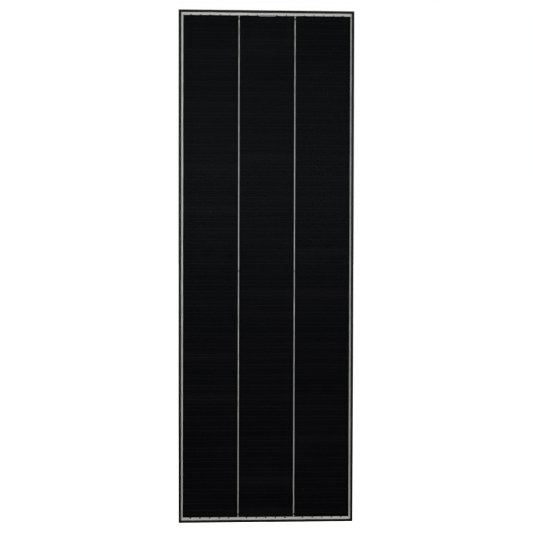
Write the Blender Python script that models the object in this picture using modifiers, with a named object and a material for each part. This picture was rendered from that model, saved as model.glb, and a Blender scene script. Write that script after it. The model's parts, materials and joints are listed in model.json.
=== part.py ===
"""A framed solar panel with three columns of shingled cells, standing upright.

Metres, +Z up. The glass faces -Y. The origin is the centre of the plane of the frame's rear flanges,
so the whole panel lies at Y <= 0. A depth is counted from the front of the frame: y = depth - FRAME_DEPTH.
"""

import math

import bmesh
import bpy
from mathutils import Matrix, Vector

# --- Driving dimensions -------------------------------------------------------------------------

PANEL_WIDTH = 0.510
PANEL_HEIGHT = 1.490
FRAME_DEPTH = 0.030

FIT_GAP = 0.0003  # between pieces that touch
LAYER_GAP = 0.0001  # between the bonded sheets of the laminate
CUT_OVERRUN = 0.001  # how far a cutter reaches past the face that it cuts

# Frame section. Inward sizes are counted from the outer face.
WALL = 0.0014
LIP_WIDTH = 0.0076
LIP_THICKNESS = 0.0015
SHELF_WIDTH = 0.0106
CHAMBER_WIDTH = 0.0092
FLANGE_WIDTH = 0.022
FLANGE_THICKNESS = 0.0015
EDGE_CHAMFER = 0.0004
CORNER_GAP = 0.0002  # each rail stops this far short of the mitre, along its length

# Depths of the layers, each as (front, rear), from the front of the frame.
SEALANT_LAYER = (0.0018, 0.00975)
GLASS_LAYER = (0.0026, 0.0058)
FRONT_ENCAPSULANT_LAYER = (0.0059, 0.0063)
SERIAL_LABEL_LAYER = (0.0064, 0.0065)
CELL_LAYER = (0.0066, 0.0071)
RIBBON_LAYER = (0.0072, 0.00745)
REAR_ENCAPSULANT_LAYER = (0.00755, 0.00795)
INSULATION_LAYER = (0.00805, 0.00825)
LEAD_LAYER = (0.00835, 0.00855)
BACKSHEET_LAYER = (0.00865, 0.00895)
RATING_PLATE_LAYER = (0.00905, 0.00925)
SHELF_DEPTHS = (0.01005, 0.01145)
CHAMBER_FLOOR_DEPTHS = (0.02005, 0.02145)

SEALANT_INSET = WALL + FIT_GAP
LAMINATE_INSET = 0.0028
SEALANT_COVER = 0.0072  # how far the sealant's two legs reach in, just short of the lip's edge
SEALANT_WEB = 0.0008

# Cells. A shingle is a fifth of a wafer, and its lower edge lies over the next one.
COLUMNS = ("left", "middle", "right")
CELLS_PER_COLUMN = 48
CELL_WIDTH = 0.1604
COLUMN_PITCH = 0.1628
CELL_PITCH = 0.03045
CELL_OVERLAP = 0.0013
CELL_THICKNESS = 0.0002
CELL_BLOCK_CENTRE = (0.0008, -0.0007)  # X and Z of the whole block of cells
CELL_BLOCK_LEAN = 0.0009  # radians, the block's small turn about Y
CELL_BLOCK_HEIGHT = CELLS_PER_COLUMN * CELL_PITCH + CELL_OVERLAP

# Ribbons behind the cells.
TABS_PER_COLUMN = 5
TAB_PITCH = 0.0281
TAB_GROUP_PITCH = 0.1645
TAB_WIDTH = 0.0036
TAB_REACH = 0.0023  # past the end of the cells
TAB_STRIP = (0.0030, 0.0070)  # the strip that joins the tabs, inward from the end of the cells
BUS_STRIP = (0.0073, 0.0123)  # the bus ribbon beside it
MID_TAP_BELOW_CENTRE = 0.0101
MID_TAP_HEIGHT = 0.0045
BUS_MARGIN = 0.012  # from the side of the outer cells to the end of a bus ribbon
MID_TAP_MARGIN = 0.004
LEAD_WIDTH = 0.005
LEAD_THICKNESS = 0.0002
LEAD_SPACING = 0.025
LEAD_PAD_LENGTH = 0.006
LEAD_STEP = 0.0015  # the slope from the joint to the layer behind
LEAD_LANDING = 0.012
LEAD_WINDOW = (0.0075, 0.014)
INSULATION_WIDTH = 0.009
INSULATION_INSET = (0.012, 0.004)  # from the joint and from the slit

# Labels, each as its lowest and highest X and Z.
SERIAL_LABEL = ((-0.022, 0.7285), (0.026, 0.7327))
RATING_PLATE = ((-0.050, 0.420), (0.050, 0.500))

# Frame holes.
MOUNTING_SLOT = (0.009, 0.014)  # across and along the rail
MOUNTING_SLOT_INSET = 0.0125
MOUNTING_SLOT_PLACES = (-0.545, -0.245, 0.245, 0.545)
FLANGE_CUT = (-0.004, 0.001)  # lowest and highest Y of a cutter through the flange
EARTH_HOLE_RADIUS = 0.0021
EARTH_HOLE_PLACES = (-0.045, 0.045)
DRAIN_SLOT = (0.006, 0.004)  # along the rail and across the outer wall
DRAIN_PLACES = (-0.215, 0.215)
DRAIN_DEPTH = 0.025
DRAIN_CORNER = 0.0015

# Corner keys.
KEY_LEG = 0.042

# Junction box, on the back near the top.
BOX_Z = 0.620
BOX_WIDTH = 0.098
BOX_HEIGHT = 0.082
BOX_WALL = 0.002
BOX_CORNER = 0.004
BOX_LEAST_CORNER = 0.001
BOX_PAD_DEPTHS = (0.00925, 0.00995)
BOX_PAD_INSET = 0.003
BOX_DEPTHS = (0.01025, 0.0225)  # back of the floor to the rim
BOX_FLOOR = 0.002
LID_DEPTHS = (0.0238, 0.0266)
LID_RIB = 0.0016
LID_RIB_WALL = 0.0012
SEAL_DEPTHS = (0.0228, 0.0235)
SEAL_WIDTH = 0.0012
SEAL_INSET = 0.0004
BOX_WINDOW = (0.064, 0.008)
BOX_WINDOW_Z = 0.641
SLIT = (0.0065, 0.0022)  # in the back sheet, for each lead

# Lid hinge, along X above the box.
HINGE_Z = 0.6645
HINGE_DEPTH = 0.0234
HINGE_PIN_RADIUS = 0.001
HINGE_BORE_RADIUS = 0.0012
KNUCKLE_RADIUS = 0.0026
KNUCKLE_SPAN = (0.022, 0.0306)
EAR_RADIUS = 0.003
EAR_SPAN = (0.0310, 0.0355)
EAR_FOOT = (0.0055, 0.0012)  # its front and rear, counted forward from the hinge axis
LID_WEB = (0.002, 0.0018)  # overlap onto the lid, and thickness
PIN_BORE_REACH = 0.04
PIN_END = 0.0005  # how far the pin stands out of the ears
TONGUE_WIDTH = 0.016
TONGUE_THICKNESS = 0.0014
TONGUE_REACH = 0.0045

# Terminals and diodes inside the box.
TERMINAL_WIDTH = 0.012
TERMINAL_THICKNESS = 0.0008
TERMINAL_Z = (0.604, 0.634)
TERMINAL_TOP_DEPTH = 0.0149
TERMINAL_BENDS = (0.005, 0.007)  # heights of its two bends above its foot
DIODE_Z = 0.618
DIODE_BODY = (0.0028, 0.009)  # radius and length
DIODE_LEAD_RADIUS = 0.0006
DIODE_LEAD_SPAN = 0.0205
DIODE_EDGE = 0.0004

# Cable glands, through the lower wall of the box.
GLAND_X = 0.022
GLAND_DEPTH = 0.01725
GLAND_BORE = 0.0033
GLAND_THREAD = 0.0044
GLAND_COLLAR = 0.0056
GLAND_HOLE = 0.0047
NUT_RADIUS = 0.0066
NUT_MOUTH = 0.0033
GLAND_INSIDE = 0.0045  # heights from the box's lower wall
GLAND_COLLAR_FOOT = -0.0033
GLAND_TIP = -0.0105
GLAND_SEAL_LENGTH = 0.0032
GLAND_NUT_FOOT = 0.0033  # below the seal

ROUND_STEPS = 24
SMALL_STEPS = 16
MERGE_DISTANCE = 0.00001


def y_at(depth):
    return depth - FRAME_DEPTH


# --- Scene and materials ------------------------------------------------------------------------

for leftover in list(bpy.data.objects):
    bpy.data.objects.remove(leftover, do_unlink=True)

parts = bpy.data.collections.new("framed_solar_panel")
bpy.context.scene.collection.children.link(parts)
cutters = bpy.data.collections.new("cutters")
cutters.hide_render = True
bpy.context.scene.collection.children.link(cutters)


def finish(name, colour, roughness, metallic=0.0, alpha=1.0):
    made = bpy.data.materials.new(name)
    made.use_nodes = True
    shader = made.node_tree.nodes["Principled BSDF"]
    shader.inputs["Base Color"].default_value = (*colour, 1.0)
    shader.inputs["Roughness"].default_value = roughness
    shader.inputs["Metallic"].default_value = metallic
    shader.inputs["Alpha"].default_value = alpha
    made.diffuse_color = (*colour, alpha)
    return made


def empty(name, location=(0, 0, 0), rotation=(0, 0, 0)):
    made = bpy.data.objects.new(name, None)
    made.location = location
    made.rotation_euler = rotation
    parts.objects.link(made)
    return made


def place(name, mesh, material, location=(0, 0, 0), rotation=(0, 0, 0), parent=None):
    """A sub-part: a new object in the panel's collection."""
    made = bpy.data.objects.new(name, mesh)
    made.location = location
    made.rotation_euler = rotation
    made.parent = parent
    parts.objects.link(made)
    made.data.materials.append(material)
    return made


# --- Shapes -------------------------------------------------------------------------------------


def to_mesh(name, bm):
    bmesh.ops.recalc_face_normals(bm, faces=bm.faces)
    mesh = bpy.data.meshes.new(name)
    bm.to_mesh(mesh)
    bm.free()
    return mesh


def block_mesh(name, low, high, corner=0.0, along=1, segments=4):
    """A box between two corners. Its edges along one axis (0, 1 or 2) can be rounded."""
    low, high = Vector(low), Vector(high)
    bm = bmesh.new()
    bmesh.ops.create_cube(bm, size=1.0)
    bmesh.ops.scale(bm, verts=bm.verts, vec=high - low)
    bmesh.ops.translate(bm, verts=bm.verts, vec=(low + high) / 2)
    if corner:
        edges = [e for e in bm.edges if abs((e.verts[0].co - e.verts[1].co).normalized()[along]) > 0.9]
        bmesh.ops.bevel(
            bm, geom=edges, offset=corner, segments=segments, profile=0.5, affect="EDGES", material=-1
        )
    return to_mesh(name, bm)


def rod_mesh(name, start, end, radius, segments=ROUND_STEPS):
    """A cylinder or prism between two points."""
    start, end = Vector(start), Vector(end)
    bm = bmesh.new()
    bmesh.ops.create_cone(
        bm,
        cap_ends=True,
        segments=segments,
        radius1=radius,
        radius2=radius,
        depth=(end - start).length,
    )
    turn = Vector((0, 0, 1)).rotation_difference(end - start).to_matrix()
    bmesh.ops.rotate(bm, verts=bm.verts, matrix=turn)
    bmesh.ops.translate(bm, verts=bm.verts, vec=(start + end) / 2)
    return to_mesh(name, bm)


def upright_rod(name, low, high, radius, segments=ROUND_STEPS):
    """A cylinder or prism on its own Z axis, between two heights."""
    return rod_mesh(name, (0, 0, low), (0, 0, high), radius, segments)


def outline_mesh(name, loops, thickness):
    """A flat outline in XY with its holes, made as a filled 2D curve, centred on Z."""
    curve = bpy.data.curves.new(name, "CURVE")
    curve.dimensions = "2D"
    curve.fill_mode = "BOTH"
    curve.extrude = thickness / 2
    for loop in loops:
        spline = curve.splines.new("POLY")
        spline.points.add(len(loop) - 1)
        for point, (x, y) in zip(spline.points, loop):
            point.co = (x, y, 0, 1)
        spline.use_cyclic_u = True
    outline = bpy.data.objects.new(name, curve)
    parts.objects.link(outline)
    graph = bpy.context.evaluated_depsgraph_get()
    mesh = bpy.data.meshes.new_from_object(outline.evaluated_get(graph))
    bpy.data.objects.remove(outline)
    bm = bmesh.new()
    bm.from_mesh(mesh)
    bpy.data.meshes.remove(mesh)
    bmesh.ops.remove_doubles(bm, verts=bm.verts, dist=MERGE_DISTANCE / 10)
    return to_mesh(name, bm)


def turned(name, profile, material, location, rotation=(0, 0, 0), hollow=True, steps=ROUND_STEPS):
    """Turned about its Z from (radius, height) points. A hollow one's profile closes on itself."""
    mesh = bpy.data.meshes.new(name)
    bm = bmesh.new()
    corners = [bm.verts.new((radius, 0, height)) for radius, height in profile]
    for start, end in zip(corners, corners[1:]):
        bm.edges.new((start, end))
    if hollow:
        bm.edges.new((corners[-1], corners[0]))
    bm.to_mesh(mesh)
    bm.free()
    made = place(name, mesh, material, location, rotation)
    screw = made.modifiers.new("turn", "SCREW")
    screw.steps = screw.render_steps = steps
    screw.use_merge_vertices = True
    screw.merge_threshold = MERGE_DISTANCE
    smooth(made)


def bent_strip(name, path, width, thickness, material, x=0.0, parent=None):
    """A flat strip along a path of (y, z) points, as wide as it is along X."""
    bm = bmesh.new()
    corners = [bm.verts.new((x - width / 2, y, z)) for y, z in path]
    edges = [bm.edges.new(pair) for pair in zip(corners, corners[1:])]
    swept = bmesh.ops.extrude_edge_only(bm, edges=edges)["geom"]
    far = [v for v in swept if isinstance(v, bmesh.types.BMVert)]
    bmesh.ops.translate(bm, verts=far, vec=(width, 0, 0))
    made = place(name, to_mesh(name, bm), material, parent=parent)
    thicken(made, thickness)
    return made


def thicken(piece, thickness):
    solidify = piece.modifiers.new("thickness", "SOLIDIFY")
    solidify.thickness = thickness
    solidify.offset = 0.0
    solidify.use_even_offset = True


def smooth(piece, angle=math.radians(35)):
    piece.data.shade_smooth()
    piece.data.set_sharp_from_angle(angle=angle)


def combine(piece, mesh, operation, parent=None):
    """Cuts a shape out of a piece, or joins one to it. The shape is kept as a hidden cutter."""
    cutter = bpy.data.objects.new(f"{piece.name}_{mesh.name}", mesh)
    cutter.hide_render = True
    cutter.display_type = "WIRE"
    cutter.parent = parent
    cutters.objects.link(cutter)
    boolean = piece.modifiers.new(mesh.name, "BOOLEAN")
    boolean.operation = operation
    boolean.solver = "EXACT"
    boolean.object = cutter


def joined_mesh(name, meshes):
    """Several separate shapes in one mesh, for one cutter."""
    bm = bmesh.new()
    for mesh in meshes:
        bm.from_mesh(mesh)
        bpy.data.meshes.remove(mesh)
    return to_mesh(name, bm)


# --- Laminate -----------------------------------------------------------------------------------

HALF_WIDTH = PANEL_WIDTH / 2
HALF_HEIGHT = PANEL_HEIGHT / 2
CELL_TOP = CELL_BLOCK_HEIGHT / 2

glass_finish = finish("clear_glass", (0.86, 0.92, 0.90), 0.08, alpha=0.18)
encapsulant_finish = finish("clear_encapsulant", (0.95, 0.96, 0.95), 0.2, alpha=0.08)
cell_finish = finish("black_cell", (0.006, 0.0065, 0.008), 0.35)
tab_finish = finish("dark_tab", (0.05, 0.05, 0.055), 0.45, metallic=0.6)
ribbon_finish = finish("tinned_ribbon", (0.62, 0.62, 0.60), 0.35, metallic=0.9)
backsheet_finish = finish("white_backsheet", (0.66, 0.67, 0.64), 0.55)
insulation_finish = finish("insulation_strip", (0.80, 0.80, 0.77), 0.5)
label_finish = finish("label_film", (0.30, 0.33, 0.37), 0.5)
rating_finish = finish("rating_plate", (0.70, 0.71, 0.72), 0.4)
sealant_finish = finish("grey_sealant", (0.10, 0.10, 0.10), 0.7)

cell_block = empty(
    "cell_block", (CELL_BLOCK_CENTRE[0], 0, CELL_BLOCK_CENTRE[1]), (0, CELL_BLOCK_LEAN, 0)
)


def sheet(name, layer, material, windows=()):
    """A sheet of the laminate, over its whole size, with rectangular windows (x, z, width, height)."""
    half_width, half_height = HALF_WIDTH - LAMINATE_INSET, HALF_HEIGHT - LAMINATE_INSET
    front, rear = (y_at(depth) for depth in layer)
    mesh = block_mesh(name, (-half_width, front, -half_height), (half_width, rear, half_height))
    made = place(name, mesh, material)
    if windows:
        holes = [
            block_mesh(
                "window",
                (x - width / 2, front - CUT_OVERRUN, z - height / 2),
                (x + width / 2, rear + CUT_OVERRUN, z + height / 2),
            )
            for x, z, width, height in windows
        ]
        combine(made, joined_mesh("windows", holes), "DIFFERENCE")
    return made


def flat_strip(name, layer, low, high, material, parent=None):
    """A thin flat piece in one layer, between (x, z) corners."""
    front, rear = (y_at(depth) for depth in layer)
    mesh = block_mesh(name, (low[0], front, low[1]), (high[0], rear, high[1]))
    return place(name, mesh, material, parent=parent)


def cell_string(name, x, top, count):
    """Overlapped cells as one stepped sheet: each cell comes forward to its lower edge."""
    bm = bmesh.new()
    rows = 2 * count - 1
    bmesh.ops.create_grid(bm, x_segments=1, y_segments=rows, size=0.5)
    middle = y_at(sum(CELL_LAYER) / 2)
    length = count * CELL_PITCH
    for vertex in bm.verts:
        row = round((0.5 - vertex.co.y) * rows)
        cell, at_lower_edge = divmod(row, 2)
        step = -CELL_THICKNESS / 2 if at_lower_edge else CELL_THICKNESS / 2
        drop = (cell + at_lower_edge) * CELL_PITCH
        if row == rows:
            drop = length - LAYER_GAP
        vertex.co = (x + vertex.co.x * CELL_WIDTH, middle + step, top - drop)
    made = place(name, to_mesh(name, bm), cell_finish, parent=cell_block)
    thicken(made, CELL_THICKNESS)


def end_tabs(name, x, end, inward):
    """The strip behind the last cell of a column, with its tabs standing past the cell's end."""
    near, far = (end + inward * distance for distance in TAB_STRIP)
    half = (TABS_PER_COLUMN - 1) / 2
    width = 2 * half * TAB_PITCH + TAB_WIDTH
    low, high = min(near, far), max(near, far)
    made = flat_strip(
        name, RIBBON_LAYER, (x - width / 2, low), (x + width / 2, high), tab_finish, cell_block
    )
    front, rear = (y_at(depth) for depth in RIBBON_LAYER)
    reach, root = end - inward * TAB_REACH, near + inward * CUT_OVERRUN
    tabs = [
        block_mesh(
            "tab",
            (x + (index - half) * TAB_PITCH - TAB_WIDTH / 2, front, min(reach, root)),
            (x + (index - half) * TAB_PITCH + TAB_WIDTH / 2, rear, max(reach, root)),
        )
        for index in range(TABS_PER_COLUMN)
    ]
    combine(made, joined_mesh("tabs", tabs), "UNION", parent=cell_block)


def cross_ribbon(name, low, high, margin):
    """A ribbon across all three columns, between two heights."""
    half = COLUMN_PITCH + CELL_WIDTH / 2 - margin
    return flat_strip(name, RIBBON_LAYER, (-half, low), (half, high), ribbon_finish, cell_block)


def lead_ribbon(name, x, start, end):
    """From its joint at one height, behind the rear encapsulant, through the slit and onto its terminal."""
    towards = math.copysign(1, end - start)
    joint = y_at(RIBBON_LAYER[1] + LAYER_GAP + LEAD_THICKNESS / 2)
    behind = y_at(sum(LEAD_LAYER) / 2)
    over = y_at(TERMINAL_TOP_DEPTH + FIT_GAP + LEAD_THICKNESS / 2)
    path = [
        (joint, start - towards * LEAD_PAD_LENGTH / 2),
        (joint, start + towards * LEAD_PAD_LENGTH / 2),
        (behind, start + towards * (LEAD_PAD_LENGTH / 2 + LEAD_STEP)),
        (behind, end),
        (over, end),
        (over, end - LEAD_LANDING),
    ]
    bent_strip(name, path, LEAD_WIDTH, LEAD_THICKNESS, ribbon_finish, x)


lead_joints = {
    "top": (-LEAD_SPACING, CELL_TOP + CELL_BLOCK_CENTRE[1] - sum(BUS_STRIP) / 2),
    "middle": (0.0, -MID_TAP_BELOW_CENTRE + CELL_BLOCK_CENTRE[1]),
    "bottom": (LEAD_SPACING, -CELL_TOP + CELL_BLOCK_CENTRE[1] + sum(BUS_STRIP) / 2),
}
lead_windows = [
    (x, z + math.copysign(LEAD_STEP, BOX_WINDOW_Z - z), *LEAD_WINDOW) for x, z in lead_joints.values()
]
lead_slits = [(x, BOX_WINDOW_Z, *SLIT) for x, _ in lead_joints.values()]

sheet("front_glass", GLASS_LAYER, glass_finish)
sheet("front_encapsulant", FRONT_ENCAPSULANT_LAYER, encapsulant_finish)
sheet("rear_encapsulant", REAR_ENCAPSULANT_LAYER, encapsulant_finish, lead_windows)
sheet("backsheet", BACKSHEET_LAYER, backsheet_finish, lead_slits)

for index, column in enumerate(COLUMNS):
    column_x = (index - 1) * COLUMN_PITCH
    tabs_x = (index - 1) * TAB_GROUP_PITCH
    half_count = CELLS_PER_COLUMN // 2
    cell_string(f"cell_string_{column}_upper", column_x, CELL_TOP, half_count)
    cell_string(
        f"cell_string_{column}_lower", column_x, CELL_TOP - half_count * CELL_PITCH, half_count
    )
    end_tabs(f"end_tabs_{column}_top", tabs_x, CELL_TOP, -1)
    end_tabs(f"end_tabs_{column}_bottom", tabs_x, -CELL_TOP, 1)

cross_ribbon("top_bus_ribbon", CELL_TOP - BUS_STRIP[1], CELL_TOP - BUS_STRIP[0], BUS_MARGIN)
cross_ribbon("bottom_bus_ribbon", -CELL_TOP + BUS_STRIP[0], -CELL_TOP + BUS_STRIP[1], BUS_MARGIN)
cross_ribbon(
    "mid_tap_ribbon",
    -MID_TAP_BELOW_CENTRE - MID_TAP_HEIGHT / 2,
    -MID_TAP_BELOW_CENTRE + MID_TAP_HEIGHT / 2,
    MID_TAP_MARGIN,
)

for end, (lead_x, joint_z) in lead_joints.items():
    lead_ribbon(f"{end}_lead_ribbon", lead_x, joint_z, BOX_WINDOW_Z)
    if end != "top":
        flat_strip(
            f"{end}_lead_insulation",
            INSULATION_LAYER,
            (lead_x - INSULATION_WIDTH / 2, joint_z + INSULATION_INSET[0]),
            (lead_x + INSULATION_WIDTH / 2, BOX_WINDOW_Z - INSULATION_INSET[1]),
            insulation_finish,
        )

flat_strip("serial_label", SERIAL_LABEL_LAYER, *SERIAL_LABEL, label_finish)
flat_strip("rating_plate", RATING_PLATE_LAYER, *RATING_PLATE, rating_finish)


def edge_sealant():
    """The bead that wraps the laminate's edge inside the frame's slot."""
    half = (HALF_WIDTH - SEALANT_INSET, HALF_HEIGHT - SEALANT_INSET)
    opening = (HALF_WIDTH - SEALANT_COVER, HALF_HEIGHT - SEALANT_COVER)
    pocket = (half[0] - SEALANT_WEB, half[1] - SEALANT_WEB)
    front, rear = (y_at(depth) for depth in SEALANT_LAYER)
    pocket_front = y_at(GLASS_LAYER[0] - FIT_GAP)
    pocket_rear = y_at(BACKSHEET_LAYER[1] + FIT_GAP)
    mesh = block_mesh("edge_sealant", (-half[0], front, -half[1]), (half[0], rear, half[1]))
    made = place("edge_sealant", mesh, sealant_finish)
    window = block_mesh(
        "opening",
        (-opening[0], front - CUT_OVERRUN, -opening[1]),
        (opening[0], rear + CUT_OVERRUN, opening[1]),
    )
    slot = block_mesh(
        "laminate_slot",
        (-pocket[0], pocket_front, -pocket[1]),
        (pocket[0], pocket_rear, pocket[1]),
    )
    combine(made, window, "DIFFERENCE")
    combine(made, slot, "DIFFERENCE")


edge_sealant()


# --- Frame --------------------------------------------------------------------------------------

frame_finish = finish("black_anodised_aluminium", (0.018, 0.018, 0.020), 0.42, metallic=0.55)
key_finish = finish("bare_aluminium", (0.72, 0.73, 0.74), 0.4, metallic=1.0)


def rail_mesh(name, span, across):
    """One rail as the left-hand one stands: its outer face at X = -across / 2, running along Z."""
    shelf_front, shelf_rear = SHELF_DEPTHS
    floor_front, floor_rear = CHAMBER_FLOOR_DEPTHS
    flange_front = FRAME_DEPTH - FLANGE_THICKNESS
    section = [
        (EDGE_CHAMFER, 0),
        (LIP_WIDTH - EDGE_CHAMFER, 0),
        (LIP_WIDTH, EDGE_CHAMFER),
        (LIP_WIDTH, LIP_THICKNESS),
        (WALL, LIP_THICKNESS),
        (WALL, shelf_front),
        (SHELF_WIDTH, shelf_front),
        (SHELF_WIDTH, floor_rear),
        (WALL, floor_rear),
        (WALL, flange_front),
        (FLANGE_WIDTH, flange_front),
        (FLANGE_WIDTH, FRAME_DEPTH),
        (EDGE_CHAMFER, FRAME_DEPTH),
        (0, FRAME_DEPTH - EDGE_CHAMFER),
        (0, EDGE_CHAMFER),
    ]
    chamber = [
        (WALL, shelf_rear),
        (CHAMBER_WIDTH, shelf_rear),
        (CHAMBER_WIDTH, floor_front),
        (WALL, floor_front),
    ]
    mesh = outline_mesh(name, [section, chamber], span)
    for vertex in mesh.vertices:
        inward, depth, along = vertex.co
        mitred = span / 2 - inward - CORNER_GAP
        vertex.co = (inward - across / 2, y_at(depth), math.copysign(mitred, along))
    return mesh


def mounting_slots(across):
    """Stadium-shaped slots through the rear flange."""
    width, length = MOUNTING_SLOT
    x = MOUNTING_SLOT_INSET - across / 2
    return [
        block_mesh(
            "slot",
            (x - width / 2, FLANGE_CUT[0], z - length / 2),
            (x + width / 2, FLANGE_CUT[1], z + length / 2),
            corner=width / 2 - MERGE_DISTANCE,
            segments=6,
        )
        for z in MOUNTING_SLOT_PLACES
    ]


def earth_holes(across):
    x = MOUNTING_SLOT_INSET - across / 2
    return [
        rod_mesh("earth_hole", (x, FLANGE_CUT[0], z), (x, FLANGE_CUT[1], z), EARTH_HOLE_RADIUS, SMALL_STEPS)
        for z in EARTH_HOLE_PLACES
    ]


def drain_slots(across):
    """Through the outer wall, behind the chamber."""
    length, height = DRAIN_SLOT
    x, y = -across / 2, y_at(DRAIN_DEPTH)
    return [
        block_mesh(
            "drain",
            (x - CUT_OVERRUN, y - height / 2, z - length / 2),
            (x + WALL + CUT_OVERRUN, y + height / 2, z + length / 2),
            corner=DRAIN_CORNER,
            along=0,
            segments=3,
        )
        for z in DRAIN_PLACES
    ]


RAILS = (
    ("frame_rail_left", 0, PANEL_HEIGHT, PANEL_WIDTH),
    ("frame_rail_top", 90, PANEL_WIDTH, PANEL_HEIGHT),
    ("frame_rail_right", 180, PANEL_HEIGHT, PANEL_WIDTH),
    ("frame_rail_bottom", -90, PANEL_WIDTH, PANEL_HEIGHT),
)
for rail_name, turn, span, across in RAILS:
    rotation = (0, math.radians(turn), 0)
    rail = place(rail_name, rail_mesh(rail_name, span, across), frame_finish, rotation=rotation)
    if span == PANEL_HEIGHT:
        holes = mounting_slots(across) + earth_holes(across)
    else:
        holes = drain_slots(across)
    combine(rail, joined_mesh("holes", holes), "DIFFERENCE", parent=rail)


def corner_key(name, x_side, z_side):
    """An L of two equal legs inside the chambers of two rails."""
    inner, outer = WALL + FIT_GAP, CHAMBER_WIDTH - FIT_GAP
    front, rear = SHELF_DEPTHS[1] + FIT_GAP, CHAMBER_FLOOR_DEPTHS[0] - FIT_GAP
    corner = [
        (inner, inner),
        (inner + KEY_LEG, inner),
        (inner + KEY_LEG, outer),
        (outer, outer),
        (outer, inner + KEY_LEG),
        (inner, inner + KEY_LEG),
    ]
    mesh = outline_mesh(name, [corner], rear - front)
    for vertex in mesh.vertices:
        along_x, along_z, depth = vertex.co
        vertex.co = (
            x_side * (HALF_WIDTH - along_x),
            y_at((front + rear) / 2) + depth,
            z_side * (HALF_HEIGHT - along_z),
        )
    bm = bmesh.new()
    bm.from_mesh(mesh)
    place(name, to_mesh(name, bm), key_finish)


for z_name, z_side in (("top", 1), ("bottom", -1)):
    for x_name, x_side in (("left", -1), ("right", 1)):
        corner_key(f"corner_key_{z_name}_{x_name}", x_side, z_side)


# --- Junction box -------------------------------------------------------------------------------

box_finish = finish("black_box_plastic", (0.022, 0.022, 0.024), 0.5)
lid_finish = finish("black_lid_plastic", (0.028, 0.028, 0.030), 0.45)
pad_finish = finish("white_adhesive", (0.60, 0.60, 0.58), 0.6)
rubber_finish = finish("black_rubber", (0.015, 0.015, 0.015), 0.8)
pin_finish = finish("steel_pin", (0.60, 0.60, 0.61), 0.3, metallic=1.0)
terminal_finish = finish("tinned_copper", (0.66, 0.58, 0.46), 0.35, metallic=1.0)
diode_finish = finish("diode_black", (0.03, 0.03, 0.03), 0.4)

BOX_LOW = (-BOX_WIDTH / 2, BOX_Z - BOX_HEIGHT / 2)
BOX_HIGH = (BOX_WIDTH / 2, BOX_Z + BOX_HEIGHT / 2)
HINGE_Y = y_at(HINGE_DEPTH)
GLAND_Y = y_at(GLAND_DEPTH)


def box_slab(name, depths, inset=0.0):
    """A slab with the box's rounded outline, drawn in by an inset."""
    front, rear = (y_at(depth) for depth in depths)
    return block_mesh(
        name,
        (BOX_LOW[0] + inset, front, BOX_LOW[1] + inset),
        (BOX_HIGH[0] - inset, rear, BOX_HIGH[1] - inset),
        corner=max(BOX_CORNER - inset, BOX_LEAST_CORNER),
    )


def floor_window(name, depths):
    """The opening that the three leads come through."""
    width, height = BOX_WINDOW
    front, rear = (y_at(depth) for depth in depths)
    return block_mesh(
        name,
        (-width / 2, front - CUT_OVERRUN, BOX_WINDOW_Z - height / 2),
        (width / 2, rear + CUT_OVERRUN, BOX_WINDOW_Z + height / 2),
        corner=BOX_WALL,
    )


def both_sides(mesh_at):
    """The shapes that a function makes for the left side, -1, and the right side, +1."""
    return [mesh_at(-1), mesh_at(1)]


def on_hinge(name, half_length, radius):
    """A rod along the hinge axis."""
    start, end = ((side * half_length, HINGE_Y, HINGE_Z) for side in (-1, 1))
    return rod_mesh(name, start, end, radius, SMALL_STEPS)


def adhesive_pad():
    slab = box_slab("junction_box_pad", BOX_PAD_DEPTHS, BOX_PAD_INSET)
    made = place("junction_box_pad", slab, pad_finish)
    combine(made, floor_window("lead_window", BOX_PAD_DEPTHS), "DIFFERENCE")


def box_base():
    made = place("junction_box_base", box_slab("junction_box_base", BOX_DEPTHS), box_finish)
    floor_front, rim = BOX_DEPTHS
    inside = box_slab("inside", (floor_front + BOX_FLOOR, rim + CUT_OVERRUN), BOX_WALL)
    combine(made, inside, "DIFFERENCE")
    combine(made, floor_window("lead_window", (floor_front, floor_front + BOX_FLOOR)), "DIFFERENCE")
    top = BOX_HIGH[1]

    def foot(side):
        near, far = sorted(side * x for x in EAR_SPAN)
        front, rear = (HINGE_Y - distance for distance in EAR_FOOT)
        return block_mesh("ear_foot", (near, front, top - CUT_OVERRUN), (far, rear, HINGE_Z))

    def eye(side):
        near, far = sorted(side * x for x in EAR_SPAN)
        return rod_mesh("ear_eye", (near, HINGE_Y, HINGE_Z), (far, HINGE_Y, HINGE_Z), EAR_RADIUS)

    def gland_hole(side):
        low, high = BOX_LOW[1] - CUT_OVERRUN, BOX_LOW[1] + BOX_WALL + CUT_OVERRUN
        return rod_mesh(
            "gland_hole", (side * GLAND_X, GLAND_Y, low), (side * GLAND_X, GLAND_Y, high), GLAND_HOLE
        )

    combine(made, joined_mesh("ear_feet", both_sides(foot)), "UNION")
    combine(made, joined_mesh("ear_eyes", both_sides(eye)), "UNION")
    combine(made, on_hinge("pin_bore", PIN_BORE_REACH, HINGE_BORE_RADIUS), "DIFFERENCE")
    combine(made, joined_mesh("gland_holes", both_sides(gland_hole)), "DIFFERENCE")
    smooth(made)


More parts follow.
